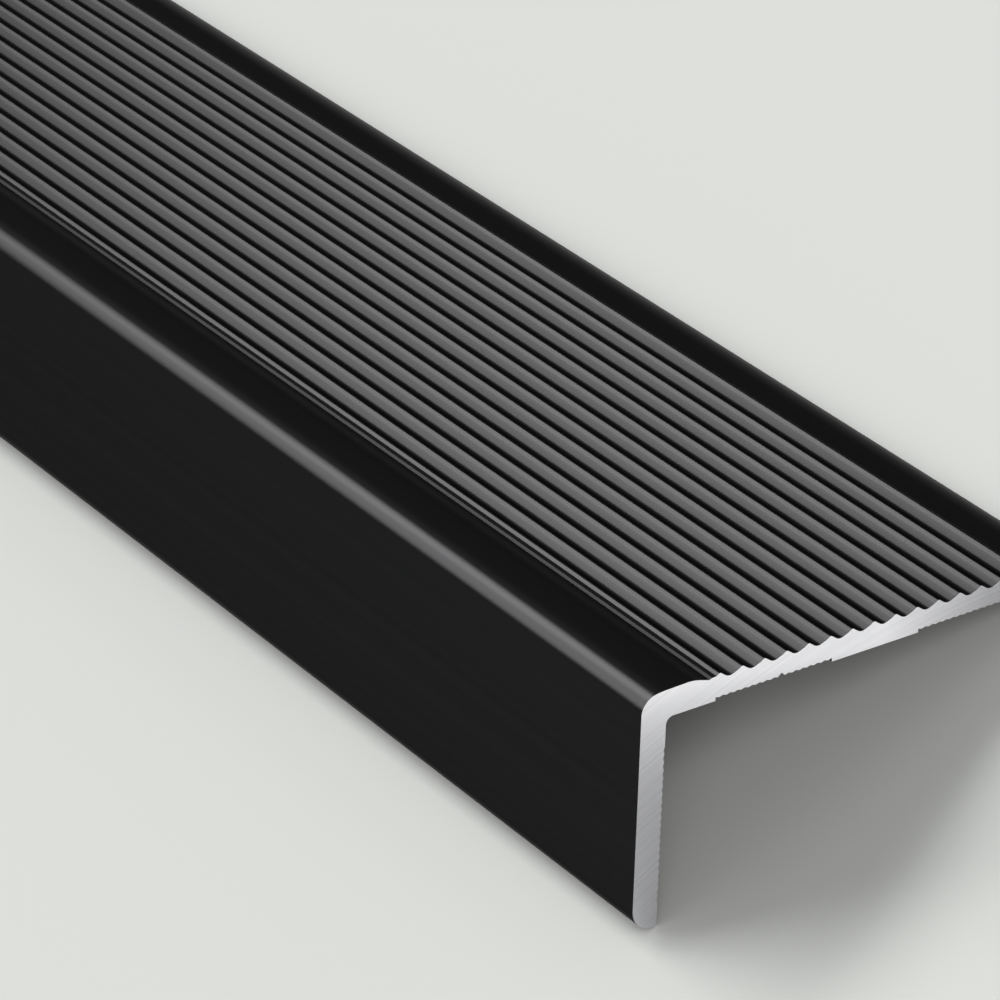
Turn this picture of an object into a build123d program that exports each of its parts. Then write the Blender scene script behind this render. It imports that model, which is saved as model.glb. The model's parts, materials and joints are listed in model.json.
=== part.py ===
from build123d import *
import os
from math import asin, atan2, cos, degrees, hypot, radians, sin, tan

# A stair nose: one length of extruded aluminium L section, black anodised, with sawn ends.
# The section is drawn with its tread level. X is measured back from the riser's outer face,
# and Y up from the tread's underside.

# Overall sizes, in millimetres
length = 1000.0
tread_depth = 51.35
riser_height = 25.0
riser_wall = 2.8

# Nose: a rounded corner, a gentle rise to the hump, then a fall into the lead groove
nose_thickness = 2.95
nose_depth = 5.7
nose_edge_drop = 0.4
nose_rise_depth = 2.2
nose_rise_drop = 0.085
nose_fall_width = 1.8
nose_radius = 1.8
nose_rise_radius = 7.0
nose_back_radius = 4.0
inner_corner_radius = 0.8

# Lead: the groove behind the nose, a low ledge, a narrow land and the first rib's front
groove_height = 2.42
lead_step_width = 0.35
lead_step_height = 2.54
lead_land_width = 0.46
lead_foot_height = 2.57
lead_front_width = 0.37
lead_radius = 0.15

# Ribs: an easy front that steepens to the crest, a steep back and a rounded valley
tread_thickness = 2.825
rib_pitch = 2.524
rib_height = 0.625
rib_front_angle = 22.5
rib_crest_angle = 39.0
rib_back_angle = 35.5
crest_width = 0.34
crest_radius = 0.22
shoulder_radius = 1.0
valley_flat_share = 0.1
last_rib_rise = 0.055

# Flat strip behind the ribs, and the long fall of the back edge
back_strip = 6.5
back_strip_height = 2.25
back_groove_radius = 0.3
back_fall_height = 1.06
back_fall_angle = 28.0
back_fall_radius = 5.4
back_tip_angle = 56.0
back_tip_radius = 2.0
back_edge_height = 0.4
back_foot_radius = 0.2

# Two shallow channels for glue under the tread, with toothed ceilings
channel_front_land = 8.3
channel_middle_land = 10.1
channel_back_land = 6.35
channel_height = 0.4
tooth_pitch = 0.83
tooth_height = 0.13
notch_inset = 7.5
notch_height = 0.25

# Riser: fine glue teeth on its inner face, and a foot with a broad round in front
riser_teeth_top = 3.0
riser_teeth_bottom = 2.5
riser_tooth_height = 0.12
foot_inner_radius = 0.2
foot_land = 0.1

# Levels and places that follow from the sizes
riser_foot = nose_thickness - riser_height
foot_outer_radius = riser_wall - foot_inner_radius - foot_land
groove_depth = nose_depth + nose_fall_width
lead_step_depth = groove_depth + lead_step_width
lead_foot_depth = lead_step_depth + lead_land_width
first_crest = lead_foot_depth + lead_front_width
rib_count = int((tread_depth - back_strip - first_crest) / rib_pitch) + 1
valley_height = tread_thickness - rib_height
shoulder_height = tread_thickness - crest_width * tan(radians(rib_crest_angle))
front_run = (shoulder_height - valley_height) / tan(radians(rib_front_angle))
back_run = rib_height / tan(radians(rib_back_angle))
valley_width = rib_pitch - crest_width - front_run - back_run
valley_turns = tan(radians(rib_front_angle / 2)) + tan(radians(rib_back_angle / 2))
valley_radius = (1 - valley_flat_share) * valley_width / valley_turns
last_height = tread_thickness + last_rib_rise
last_shift = last_rib_rise / tan(radians(rib_front_angle))
last_run = (last_height - back_strip_height) / tan(radians(rib_back_angle))
back_tip_run = (back_fall_height - back_edge_height) / tan(radians(back_tip_angle))
back_fall_run = (back_strip_height - back_fall_height) / tan(radians(back_fall_angle))
channel_width = (tread_depth - channel_front_land - channel_middle_land - channel_back_land) / 2
front_channel_end = channel_front_land + channel_width
back_channel_start = front_channel_end + channel_middle_land
back_channel_end = tread_depth - channel_back_land
channel_teeth = round(channel_width / tooth_pitch)
channel_tooth = channel_width / channel_teeth
notch_tooth = round((channel_width - notch_inset) / channel_tooth)
riser_teeth_end = riser_foot + riser_teeth_bottom
riser_teeth = round((-riser_teeth_top - riser_teeth_end) / tooth_pitch)
riser_tooth = (-riser_teeth_top - riser_teeth_end) / riser_teeth

# Resting on the floor, the section leans back until its riser's foot and its back edge both touch
foot_x = riser_wall - foot_inner_radius
foot_y = riser_foot + foot_inner_radius
heel_x = tread_depth - back_foot_radius
heel_y = back_foot_radius
foot_to_heel = hypot(heel_x - foot_x, heel_y - foot_y)
lean = atan2(heel_y - foot_y, heel_x - foot_x) + asin((foot_inner_radius - back_foot_radius) / foot_to_heel)
floor_drop = foot_x * sin(lean) - foot_y * cos(lean) + foot_inner_radius
back_reach = tread_depth * cos(lean) + back_edge_height * sin(lean)
front_reach = (
    foot_outer_radius * cos(lean)
    + (riser_foot + foot_outer_radius) * sin(lean)
    - foot_outer_radius
)
section_plane = Plane(
    origin=(0, -(back_reach + front_reach) / 2, floor_drop),
    x_dir=(0, cos(lean), -sin(lean)),
    z_dir=(1, 0, 0),
)

# Corners of the section with the radius at each, from the riser's foot up over the nose and the lead
corners = [
    (0, riser_foot, foot_outer_radius),
    (0, nose_thickness - nose_edge_drop, nose_radius),
    (nose_rise_depth, nose_thickness - nose_rise_drop, nose_rise_radius),
    (nose_depth, nose_thickness, nose_back_radius),
    (groove_depth, groove_height, lead_radius),
    (lead_step_depth, lead_step_height, lead_radius),
    (lead_foot_depth, lead_foot_height, lead_radius),
    (first_crest, tread_thickness, crest_radius),
]

# Ribs behind the first: each valley, then the front's shoulder and the crest
for rib in range(1, rib_count):
    crest = first_crest + rib * rib_pitch
    corners.append((crest - rib_pitch + back_run, valley_height, valley_radius))
    corners.append((crest - crest_width - front_run, valley_height, valley_radius))
    if rib + 1 < rib_count:
        corners.append((crest - crest_width, shoulder_height, shoulder_radius))
        corners.append((crest, tread_thickness, crest_radius))

# Last rib, which stands a little higher, then the flat strip and the back edge
last_crest = first_crest + (rib_count - 1) * rib_pitch + last_shift
corners.append((last_crest - crest_width, shoulder_height + last_rib_rise, shoulder_radius))
corners.append((last_crest, last_height, crest_radius))
corners.append((last_crest + last_run, back_strip_height, back_groove_radius))
corners.append((tread_depth - back_tip_run - back_fall_run, back_strip_height, back_fall_radius))
corners.append((tread_depth - back_tip_run, back_fall_height, back_tip_radius))
corners.append((tread_depth, back_edge_height, 0))
corners.append((tread_depth, 0, back_foot_radius))

# Glue channels, from the back one to the front one, which has the deeper locating notch
for channel_end, channel_start, notch in (
    (back_channel_end, back_channel_start, None),
    (front_channel_end, channel_front_land, notch_tooth),
):
    corners.append((channel_end, 0, 0))
    corners.append((channel_end, channel_height, 0))
    for tooth in range(channel_teeth):
        tooth_x = channel_end - tooth * channel_tooth
        root_height = channel_height + notch_height if tooth + 1 == notch else channel_height
        corners.append((tooth_x - channel_tooth / 2, channel_height - tooth_height, 0))
        corners.append((tooth_x - channel_tooth, root_height, 0))
    corners.append((channel_start, 0, 0))

# Inside corner, then the riser's toothed inner face down to its foot
corners.append((riser_wall, 0, inner_corner_radius))
corners.append((riser_wall, -riser_teeth_top, 0))
for tooth in range(riser_teeth):
    tooth_y = -riser_teeth_top - tooth * riser_tooth
    corners.append((riser_wall - riser_tooth_height, tooth_y - riser_tooth / 2, 0))
    corners.append((riser_wall, tooth_y - riser_tooth, 0))
corners.append((riser_wall, riser_foot, foot_inner_radius))

# Stair nose: the section, extruded both ways from the middle of its length
with BuildPart() as stair_nose:
    with BuildSketch(section_plane):
        with BuildLine():
            FilletPolyline(
                *[(x, y) for x, y, radius in corners],
                radius=[radius for x, y, radius in corners],
                close=True,
            )
        make_face()
    extrude(amount=length / 2, both=True)
stair_nose.part.label = "stair_nose"
os.makedirs("parts", exist_ok=True)
export_step(stair_nose.part, "parts/stair_nose.step")

print(f"{rib_count} ribs, lean {degrees(lean):.2f} degrees")
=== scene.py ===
import json
from math import atan2, cos, pi, radians, sin, tan

import bmesh
import bpy
from mathutils import Matrix, Vector


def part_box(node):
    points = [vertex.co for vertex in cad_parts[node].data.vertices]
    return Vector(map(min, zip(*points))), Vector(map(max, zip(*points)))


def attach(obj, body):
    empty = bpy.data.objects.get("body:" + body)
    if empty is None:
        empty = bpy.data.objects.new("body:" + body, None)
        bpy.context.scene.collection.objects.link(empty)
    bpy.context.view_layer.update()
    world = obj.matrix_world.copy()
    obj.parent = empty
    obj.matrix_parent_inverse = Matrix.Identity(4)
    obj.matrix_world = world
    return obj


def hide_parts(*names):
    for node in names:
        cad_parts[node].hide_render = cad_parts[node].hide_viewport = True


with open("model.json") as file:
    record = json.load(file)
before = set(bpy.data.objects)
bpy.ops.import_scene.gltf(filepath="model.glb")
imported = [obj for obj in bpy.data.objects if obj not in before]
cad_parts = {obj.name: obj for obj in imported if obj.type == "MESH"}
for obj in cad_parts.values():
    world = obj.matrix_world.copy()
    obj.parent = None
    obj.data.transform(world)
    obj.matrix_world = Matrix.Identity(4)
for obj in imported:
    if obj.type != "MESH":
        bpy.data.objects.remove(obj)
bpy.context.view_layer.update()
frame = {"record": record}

# Stair nose: one length of extruded aluminium L section, black anodised, then sawn to length.
# Its section is drawn in millimetres with its tread level, back from the riser's outer face and
# up from the tread's underside, and extruded along the whole bar.
mm = 0.001
tread_depth = 51.35
riser_height = 25.0
riser_wall = 2.8
inner_corner_radius = 0.8

# Nose: a rounded corner, a gentle rise to the hump, then a fall into the lead groove
nose_thickness = 2.95
nose_depth = 5.7
nose_edge_drop = 0.4
nose_rise_depth = 2.2
nose_rise_drop = 0.085
nose_fall_width = 1.8
nose_radius = 1.8
nose_rise_radius = 7.0
nose_back_radius = 4.0

# Lead: the groove behind the nose, a low ledge, a narrow land and the first rib's front
groove_height = 2.42
lead_step_width = 0.35
lead_step_height = 2.54
lead_land_width = 0.46
lead_foot_height = 2.57
lead_front_width = 0.37
lead_radius = 0.15

# Ribs: an easy front that steepens to the crest, a steep back and a rounded valley
tread_thickness = 2.825
rib_count = 15
rib_pitch = 2.524
rib_height = 0.625
rib_front_angle = radians(22.5)
rib_crest_angle = radians(39.0)
rib_back_angle = radians(35.5)
crest_width = 0.34
crest_radius = 0.22
shoulder_radius = 1.0
valley_flat_share = 0.1
last_rib_rise = 0.055

# Flat strip behind the ribs, and the long fall of the back edge
back_strip_height = 2.25
back_groove_radius = 0.3
back_fall_height = 1.06
back_fall_angle = radians(28.0)
back_fall_radius = 5.4
back_tip_angle = radians(56.0)
back_tip_radius = 2.0
back_edge_height = 0.4
back_foot_radius = 0.2

# Two shallow channels for glue under the tread, with toothed ceilings
channel_front_land = 8.3
channel_middle_land = 10.1
channel_back_land = 6.35
channel_height = 0.4
tooth_pitch = 0.83
tooth_height = 0.13
notch_inset = 7.5
notch_height = 0.25

# Riser: fine glue teeth on its inner face, and a foot with a broad round in front
riser_teeth_top = 3.0
riser_teeth_bottom = 2.5
riser_tooth_height = 0.12
foot_inner_radius = 0.2
foot_land = 0.1

# The tread's underside in the record gives the section's lean on the floor and its place. The
# mount's point lies at underside_depth, back from the riser's outer face.
underside = next(mount for mount in frame["record"]["mounts"] if mount["name"] == "tread_underside")
underside_depth = 26.65
lean = atan2(-underside["axis"][1], -underside["axis"][2])
back_way = Vector((0, cos(lean), -sin(lean)))
up_way = Vector((0, sin(lean), cos(lean)))
section_origin = Vector(underside["pos_m"]) - underside_depth * mm * back_way
bar_start, bar_end = (corner.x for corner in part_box("stair_nose"))

# Corners of the section with the radius at each, from the riser's foot up over the nose and the lead
riser_foot = nose_thickness - riser_height
foot_outer_radius = riser_wall - foot_inner_radius - foot_land
groove_depth = nose_depth + nose_fall_width
lead_step_depth = groove_depth + lead_step_width
lead_foot_depth = lead_step_depth + lead_land_width
first_crest = lead_foot_depth + lead_front_width
corners = [
    (0, riser_foot, foot_outer_radius),
    (0, nose_thickness - nose_edge_drop, nose_radius),
    (nose_rise_depth, nose_thickness - nose_rise_drop, nose_rise_radius),
    (nose_depth, nose_thickness, nose_back_radius),
    (groove_depth, groove_height, lead_radius),
    (lead_step_depth, lead_step_height, lead_radius),
    (lead_foot_depth, lead_foot_height, lead_radius),
    (first_crest, tread_thickness, crest_radius),
]

# Ribs behind the first: each valley, then the front's shoulder and the crest
valley_height = tread_thickness - rib_height
shoulder_height = tread_thickness - crest_width * tan(rib_crest_angle)
front_run = (shoulder_height - valley_height) / tan(rib_front_angle)
back_run = rib_height / tan(rib_back_angle)
valley_width = rib_pitch - crest_width - front_run - back_run
valley_turns = tan(rib_front_angle / 2) + tan(rib_back_angle / 2)
valley_radius = (1 - valley_flat_share) * valley_width / valley_turns
for rib in range(1, rib_count):
    crest = first_crest + rib * rib_pitch
    corners.append((crest - rib_pitch + back_run, valley_height, valley_radius))
    corners.append((crest - crest_width - front_run, valley_height, valley_radius))
    if rib + 1 < rib_count:
        corners.append((crest - crest_width, shoulder_height, shoulder_radius))
        corners.append((crest, tread_thickness, crest_radius))

# Last rib, which stands a little higher, then the flat strip and the back edge
last_height = tread_thickness + last_rib_rise
last_crest = crest + last_rib_rise / tan(rib_front_angle)
last_run = (last_height - back_strip_height) / tan(rib_back_angle)
back_tip_run = (back_fall_height - back_edge_height) / tan(back_tip_angle)
back_fall_run = (back_strip_height - back_fall_height) / tan(back_fall_angle)
corners.append((last_crest - crest_width, shoulder_height + last_rib_rise, shoulder_radius))
corners.append((last_crest, last_height, crest_radius))
corners.append((last_crest + last_run, back_strip_height, back_groove_radius))
corners.append((tread_depth - back_tip_run - back_fall_run, back_strip_height, back_fall_radius))
corners.append((tread_depth - back_tip_run, back_fall_height, back_tip_radius))
corners.append((tread_depth, back_edge_height, 0))
corners.append((tread_depth, 0, back_foot_radius))

# Glue channels, from the back one to the front one, which has the deeper locating notch
channel_width = (tread_depth - channel_front_land - channel_middle_land - channel_back_land) / 2
channel_teeth = round(channel_width / tooth_pitch)
channel_tooth = channel_width / channel_teeth
notch_tooth = round((channel_width - notch_inset) / channel_tooth)
for channel_end, notch in (
    (tread_depth - channel_back_land, None),
    (channel_front_land + channel_width, notch_tooth),
):
    corners.append((channel_end, 0, 0))
    corners.append((channel_end, channel_height, 0))
    for tooth in range(channel_teeth):
        tooth_x = channel_end - tooth * channel_tooth
        root_height = channel_height + notch_height if tooth + 1 == notch else channel_height
        corners.append((tooth_x - channel_tooth / 2, channel_height - tooth_height, 0))
        corners.append((tooth_x - channel_tooth, root_height, 0))
    corners.append((channel_end - channel_width, 0, 0))

# Inside corner, then the riser's toothed inner face down to its foot
corners.append((riser_wall, 0, inner_corner_radius))
corners.append((riser_wall, -riser_teeth_top, 0))
riser_teeth_end = riser_foot + riser_teeth_bottom
riser_teeth = round((-riser_teeth_top - riser_teeth_end) / tooth_pitch)
riser_tooth = (-riser_teeth_top - riser_teeth_end) / riser_teeth
for tooth in range(riser_teeth):
    tooth_y = -riser_teeth_top - tooth * riser_tooth
    corners.append((riser_wall - riser_tooth_height, tooth_y - riser_tooth / 2, 0))
    corners.append((riser_wall, tooth_y - riser_tooth, 0))
corners.append((riser_wall, riser_foot, foot_inner_radius))


def section_point(depth, height):
    """A point of the section at the bar's start, in the frame."""
    point = section_origin + depth * mm * back_way + height * mm * up_way
    return Vector((bar_start, point.y, point.z))


# The outline is rounded corner by corner, then drawn out to the bar's length
bar = bmesh.new()
outline = [bar.verts.new(section_point(depth, height)) for depth, height, radius in corners]
bar.faces.new(outline)
arc_step = radians(4.0)
fewest_steps = 3
for place, (depth, height, radius) in enumerate(corners):
    if radius:
        before = outline[place].co - section_point(*corners[place - 1][:2])
        after = section_point(*corners[(place + 1) % len(corners)][:2]) - outline[place].co
        turn = before.angle(after)
        bmesh.ops.bevel(
            bar,
            geom=[outline[place]],
            affect="VERTICES",
            offset=radius * mm * tan(turn / 2),
            segments=max(fewest_steps, round(turn / arc_step)),
            profile=0.5,
            material=-1,
        )
start_face = bar.faces[:]
length_run = bmesh.ops.extrude_face_region(bar, geom=start_face, use_keep_orig=True)
end_verts = [item for item in length_run["geom"] if isinstance(item, bmesh.types.BMVert)]
bmesh.ops.translate(bar, verts=end_verts, vec=(bar_end - bar_start, 0, 0))
bmesh.ops.recalc_face_normals(bar, faces=bar.faces)

# Curved faces are smooth, the edges between flat ones are crisp, and the sawn ends have their own slot
skin_slot, sawn_slot = 0, 1
for face in bar.faces:
    sawn = abs(face.normal.x) > 0.5
    face.smooth = not sawn
    face.material_index = sawn_slot if sawn else skin_slot
crease = radians(24.0)
for edge in bar.edges:
    edge.smooth = edge.calc_face_angle(0) < crease
bar_mesh = bpy.data.meshes.new("stair_nose_bar")
bar.to_mesh(bar_mesh)
bar.free()
stair_nose = bpy.data.objects.new("stair_nose_bar", bar_mesh)
bpy.context.scene.collection.objects.link(stair_nose)
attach(stair_nose, "root")
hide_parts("stair_nose")

# Skin: satin black anodising all over the extrusion, with faint lines that the die leaves along
# the bar and a fine etched grain. Lines and grain are noise, which mostly lies between its ends.
die_line_length, die_line_width = 400 * mm, 0.9 * mm
die_dark, die_pale = (0.022, 0.022, 0.0225), (0.0242, 0.0242, 0.0247)
die_smooth, die_rough = 0.31, 0.33
grain_size = 0.25 * mm
grain_depth = 0.0006 * mm
noise_ends = (0.3, 0.7)


def add_node(material, kind, **settings):
    """A node of a material, with its settings."""
    node = material.node_tree.nodes.new(kind)
    for name, value in settings.items():
        setattr(node, name, value)
    return node


def object_map(material, step, location=(0, 0, 0), rotation=(0, 0, 0)):
    """Coordinates in steps of the given lengths, counted from a place along turned axes."""
    mapping = add_node(material, "ShaderNodeMapping", vector_type="TEXTURE")
    mapping.inputs["Location"].default_value = location
    mapping.inputs["Rotation"].default_value = rotation
    mapping.inputs["Scale"].default_value = step
    place = add_node(material, "ShaderNodeTexCoord").outputs["Object"]
    material.node_tree.links.new(place, mapping.inputs["Vector"])
    return mapping.outputs["Vector"]


def noise(material, place, detail, dimensions="3D"):
    """Noise, with a mean of about a half, over a place in space or along one length."""
    texture = add_node(material, "ShaderNodeTexNoise", noise_dimensions=dimensions)
    texture.inputs["Scale"].default_value = 1.0
    texture.inputs["Detail"].default_value = detail
    material.node_tree.links.new(place, texture.inputs["W" if dimensions == "1D" else "Vector"])
    return texture.outputs["Fac"]


def spread(material, value, ends, low, high, socket):
    """Spreads a value between two ends from a low to a high number or colour, into a socket."""
    ramp = add_node(material, "ShaderNodeMapRange")
    ramp.inputs["From Min"].default_value = ends[0]
    ramp.inputs["From Max"].default_value = ends[1]
    material.node_tree.links.new(value, ramp.inputs["Value"])
    if isinstance(low, tuple):
        mix = add_node(material, "ShaderNodeMix", data_type="RGBA")
        mix.inputs["A"].default_value = (*low, 1)
        mix.inputs["B"].default_value = (*high, 1)
        material.node_tree.links.new(ramp.outputs["Result"], mix.inputs["Factor"])
        material.node_tree.links.new(mix.outputs["Result"], socket)
    else:
        ramp.inputs["To Min"].default_value = low
        ramp.inputs["To Max"].default_value = high
        material.node_tree.links.new(ramp.outputs["Result"], socket)


def relief(material, height, depth, shader):
    """Fine relief of a given depth on a shader's normal."""
    bump = add_node(material, "ShaderNodeBump")
    bump.inputs["Distance"].default_value = depth
    material.node_tree.links.new(height, bump.inputs["Height"])
    material.node_tree.links.new(bump.outputs["Normal"], shader.inputs["Normal"])


anodised = bpy.data.materials.new("black_anodised")
anodised.use_nodes = True
anodised_shader = anodised.node_tree.nodes["Principled BSDF"]
anodised_shader.inputs["Metallic"].default_value = 1.0
anodised_shader.inputs["Specular Tint"].default_value = (0.45, 0.45, 0.45, 1)
die_map = object_map(anodised, (die_line_length, die_line_width, die_line_width))
die_lines = noise(anodised, die_map, detail=3.0)
spread(anodised, die_lines, noise_ends, die_dark, die_pale, anodised_shader.inputs["Base Color"])
spread(anodised, die_lines, noise_ends, die_smooth, die_rough, anodised_shader.inputs["Roughness"])
grain = noise(anodised, object_map(anodised, (grain_size, grain_size, grain_size)), detail=1.0)
relief(anodised, grain, grain_depth, anodised_shader)
stair_nose.data.materials.append(anodised)

# Ends: bare aluminium with the faint arcs of the saw blade, pale and little metallic along the tread,
# with painted shade that darkens them to a grey and makes them fully metallic down the riser; they also
# grow darker and more metallic towards the back edge.
# Painted shade: the dark tone is painted shade down the riser, and is also used towards the back edge;
# the pale tone is the lit tread end
painted_shade_tone, painted_lit_tone = (0.595, 0.59, 0.62), (0.925, 0.92, 0.945)
shaded_metallic, lit_metallic = 1.0, 0.2
sawn_end = bpy.data.materials.new("sawn_aluminium")
sawn_end.use_nodes = True
sawn_shader = sawn_end.node_tree.nodes["Principled BSDF"]

# Saw marks: arcs about the blade's centre in the section, with an endless step along the bar
blade_back, blade_drop = 50 * mm, 100 * mm
blade_centre = section_origin + blade_back * back_way - blade_drop * up_way
mark_width = 0.3 * mm
mark_depth = 0.002 * mm
endless = 1000
blade_place = object_map(sawn_end, (endless, mark_width, mark_width), blade_centre)
blade_arm = add_node(sawn_end, "ShaderNodeVectorMath", operation="LENGTH")
sawn_end.node_tree.links.new(blade_place, blade_arm.inputs["Vector"])
saw_marks = noise(sawn_end, blade_arm.outputs["Value"], detail=3.0, dimensions="1D")
relief(sawn_end, saw_marks, mark_depth, sawn_shader)

# Torn grain: fine changes of roughness all over the cut
torn_size = 0.2 * mm
torn_smooth, torn_rough = 0.44, 0.56
torn_grain = noise(sawn_end, object_map(sawn_end, (torn_size, torn_size, torn_size)), detail=2.0)
spread(sawn_end, torn_grain, noise_ends, torn_smooth, torn_rough, sawn_shader.inputs["Roughness"])

# Painted light share: whole along the tread, fading into painted shade down the riser and darker
# towards the back, in millimetres
shade_tilt = radians(5.7)
riser_shade_ends = (-13.0, 3.0)
riser_shade_power = 3.0
back_fade_ends = (27.5, 40.0)
section_map = object_map(sawn_end, (mm, mm, mm), section_origin, (-lean - shade_tilt, 0, 0))
section_place = add_node(sawn_end, "ShaderNodeSeparateXYZ")
sawn_end.node_tree.links.new(section_map, section_place.inputs["Vector"])
riser_shade_fade = add_node(sawn_end, "ShaderNodeMath", operation="POWER")
spread(sawn_end, section_place.outputs["Z"], riser_shade_ends, 0.0, 1.0, riser_shade_fade.inputs[0])
riser_shade_fade.inputs[1].default_value = riser_shade_power
back_fade = add_node(sawn_end, "ShaderNodeMath", operation="MULTIPLY")
sawn_end.node_tree.links.new(riser_shade_fade.outputs["Value"], back_fade.inputs[0])
spread(sawn_end, section_place.outputs["Y"], back_fade_ends, 1.0, 0.0, back_fade.inputs[1])
painted_light_share = back_fade.outputs["Value"]
# The painted light share also sets the metallic: fully metallic in the painted shade, little metallic
# where the end is pale
spread(sawn_end, painted_light_share, (0, 1), shaded_metallic, lit_metallic, sawn_shader.inputs["Metallic"])

# Tone: the painted light share, lightened and darkened a little by the saw marks
mark_tone = 0.15
shade_and_marks_ends = (-mark_tone, 1 + mark_tone)
shade_plus_marks = add_node(sawn_end, "ShaderNodeMath", operation="ADD")
sawn_end.node_tree.links.new(painted_light_share, shade_plus_marks.inputs[0])
spread(sawn_end, saw_marks, noise_ends, -mark_tone, mark_tone, shade_plus_marks.inputs[1])
shade_and_marks = shade_plus_marks.outputs["Value"]
# Base colour: painted shade and light over the end, with the saw marks on top
spread(sawn_end, shade_and_marks, shade_and_marks_ends, painted_shade_tone, painted_lit_tone, sawn_shader.inputs["Base Color"])
stair_nose.data.materials.append(sawn_end)

# Floor: a plain pale matt sheet that the bar rests on, many times wider than the bar is long. It is
# part of the stage and not of the object.
floor_size = 12.0
floor_mesh = bmesh.new()
bmesh.ops.create_grid(floor_mesh, x_segments=1, y_segments=1, size=floor_size / 2)
floor_data = bpy.data.meshes.new("floor")
floor_mesh.to_mesh(floor_data)
floor_mesh.free()
floor = bpy.data.objects.new("floor", floor_data)
bpy.context.scene.collection.objects.link(floor)
pale = bpy.data.materials.new("pale_floor")
pale.use_nodes = True
pale_shader = pale.node_tree.nodes["Principled BSDF"]
pale_shader.inputs["Base Color"].default_value = (0.57, 0.58, 0.56, 1)
pale_shader.inputs["Roughness"].default_value = 0.9
pale_shader.inputs["Specular IOR Level"].default_value = 0.1
floor.data.materials.append(pale)

# Light: a soft grey room, soft panels beyond both ends of the bar, which the rib fronts and the
# nose mirror, stronger beyond the far end, and a soft panel that lights the near sawn end.
world = bpy.data.worlds.new("studio")
bpy.context.scene.world = world
world.use_nodes = True
room = world.node_tree.nodes["Background"]
room.inputs["Color"].default_value = (1, 1, 1, 1)
room.inputs["Strength"].default_value = 0.26
panel_distance = 40.0


def soft_panel(name, way, level, width, height, brightness):
    """A panel that faces the bar, far off so that it lights the whole length alike.

    Its width lies square to the level axis. Width and height are shares of its distance.
    """
    lamp = bpy.data.lights.new(name, "AREA")
    lamp.shape = "RECTANGLE"
    lamp.size = width * panel_distance
    lamp.size_y = height * panel_distance
    lamp.energy = brightness * pi * lamp.size * lamp.size_y
    way = Vector(way).normalized()
    across = Vector(level).cross(way).normalized()
    facing = Matrix((across, way.cross(across), way)).transposed()
    panel = bpy.data.objects.new(name, lamp)
    panel.matrix_world = Matrix.Translation(way * panel_distance) @ facing.to_4x4()
    bpy.context.scene.collection.objects.link(panel)


side_share = 0.516
for end, along, brightness in (("far", -0.72, 10.3), ("near", 0.72, 2.9)):
    soft_panel(
        f"{end}_panel",
        way=(along, -0.207, 0.663),
        level=(1, 0, 0),
        width=1.37,
        height=0.25,
        brightness=brightness,
    )
    soft_panel(
        f"{end}_side_panel",
        way=(along, 0.198, 0.666),
        level=(1, 0, 0),
        width=0.666,
        height=0.25,
        brightness=side_share * brightness,
    )
soft_panel("end_panel", way=(0.95, -0.25, 0.25), level=(0, 0, 1), width=0.8, height=0.3, brightness=4.1)

# Camera: a long lens above and in front of the bar's near end, which leans with the section. Its
# eye and aim are in millimetres: beyond the near end, back from the riser and up from the tread.
eye = (336.22, -259.71, 248.82)
aim = (-37.66, 10.99, 2.7)
roll = radians(1.75)
lens = 198.6


def beside_end(place):
    """A place given beyond the near end, back and up from the section, in the frame."""
    along, depth, height = place
    return section_point(depth, height) + Vector((bar_end - bar_start + along * mm, 0, 0))


camera_data = bpy.data.cameras.new("camera")
camera_data.sensor_width = 36.0
camera_data.lens = lens
camera_data.clip_start = 0.01
camera = bpy.data.objects.new("camera", camera_data)
backward = (beside_end(eye) - beside_end(aim)).normalized()
right = up_way.cross(backward).normalized()
upright = Matrix((right, backward.cross(right), backward)).transposed()
rolled = upright @ Matrix.Rotation(roll, 3, "Z")
camera.matrix_world = Matrix.Translation(beside_end(eye)) @ rolled.to_4x4()
bpy.context.scene.collection.objects.link(camera)
bpy.context.scene.camera = camera
bpy.context.scene.view_settings.view_transform = "Standard"
